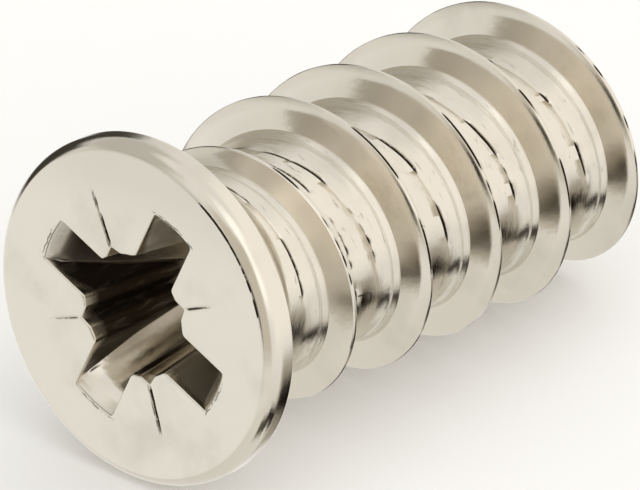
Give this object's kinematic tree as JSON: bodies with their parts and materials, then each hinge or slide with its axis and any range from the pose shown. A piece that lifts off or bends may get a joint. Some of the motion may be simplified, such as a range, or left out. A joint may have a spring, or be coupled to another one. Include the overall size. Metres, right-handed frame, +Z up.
{
  "type": "countersunk system screw",
  "caption": "Short nickel-plated countersunk screw with a cross recess with tick marks, a deep coarse right-hand thread and a blunt tip, lying on its side.",
  "frame": {"origin": "centre of the underside of the lying screw's bounding box, on the surface it rests on", "axes": "+X from the head towards the tip, +Z up; the screw's own axis dips 3.6 degrees towards the tip, because it lies on the head's rim and the thread"},
  "size_m": [0.0138, 0.0076, 0.0076],
  "materials": {
    "nickel": "bright nickel plate, warm silver, smooth on the head and the flanks, with fine rolling marks in the thread root"
  },
  "bodies": {
    "root": {"screw": "nickel"}
  },
  "joints": []
}
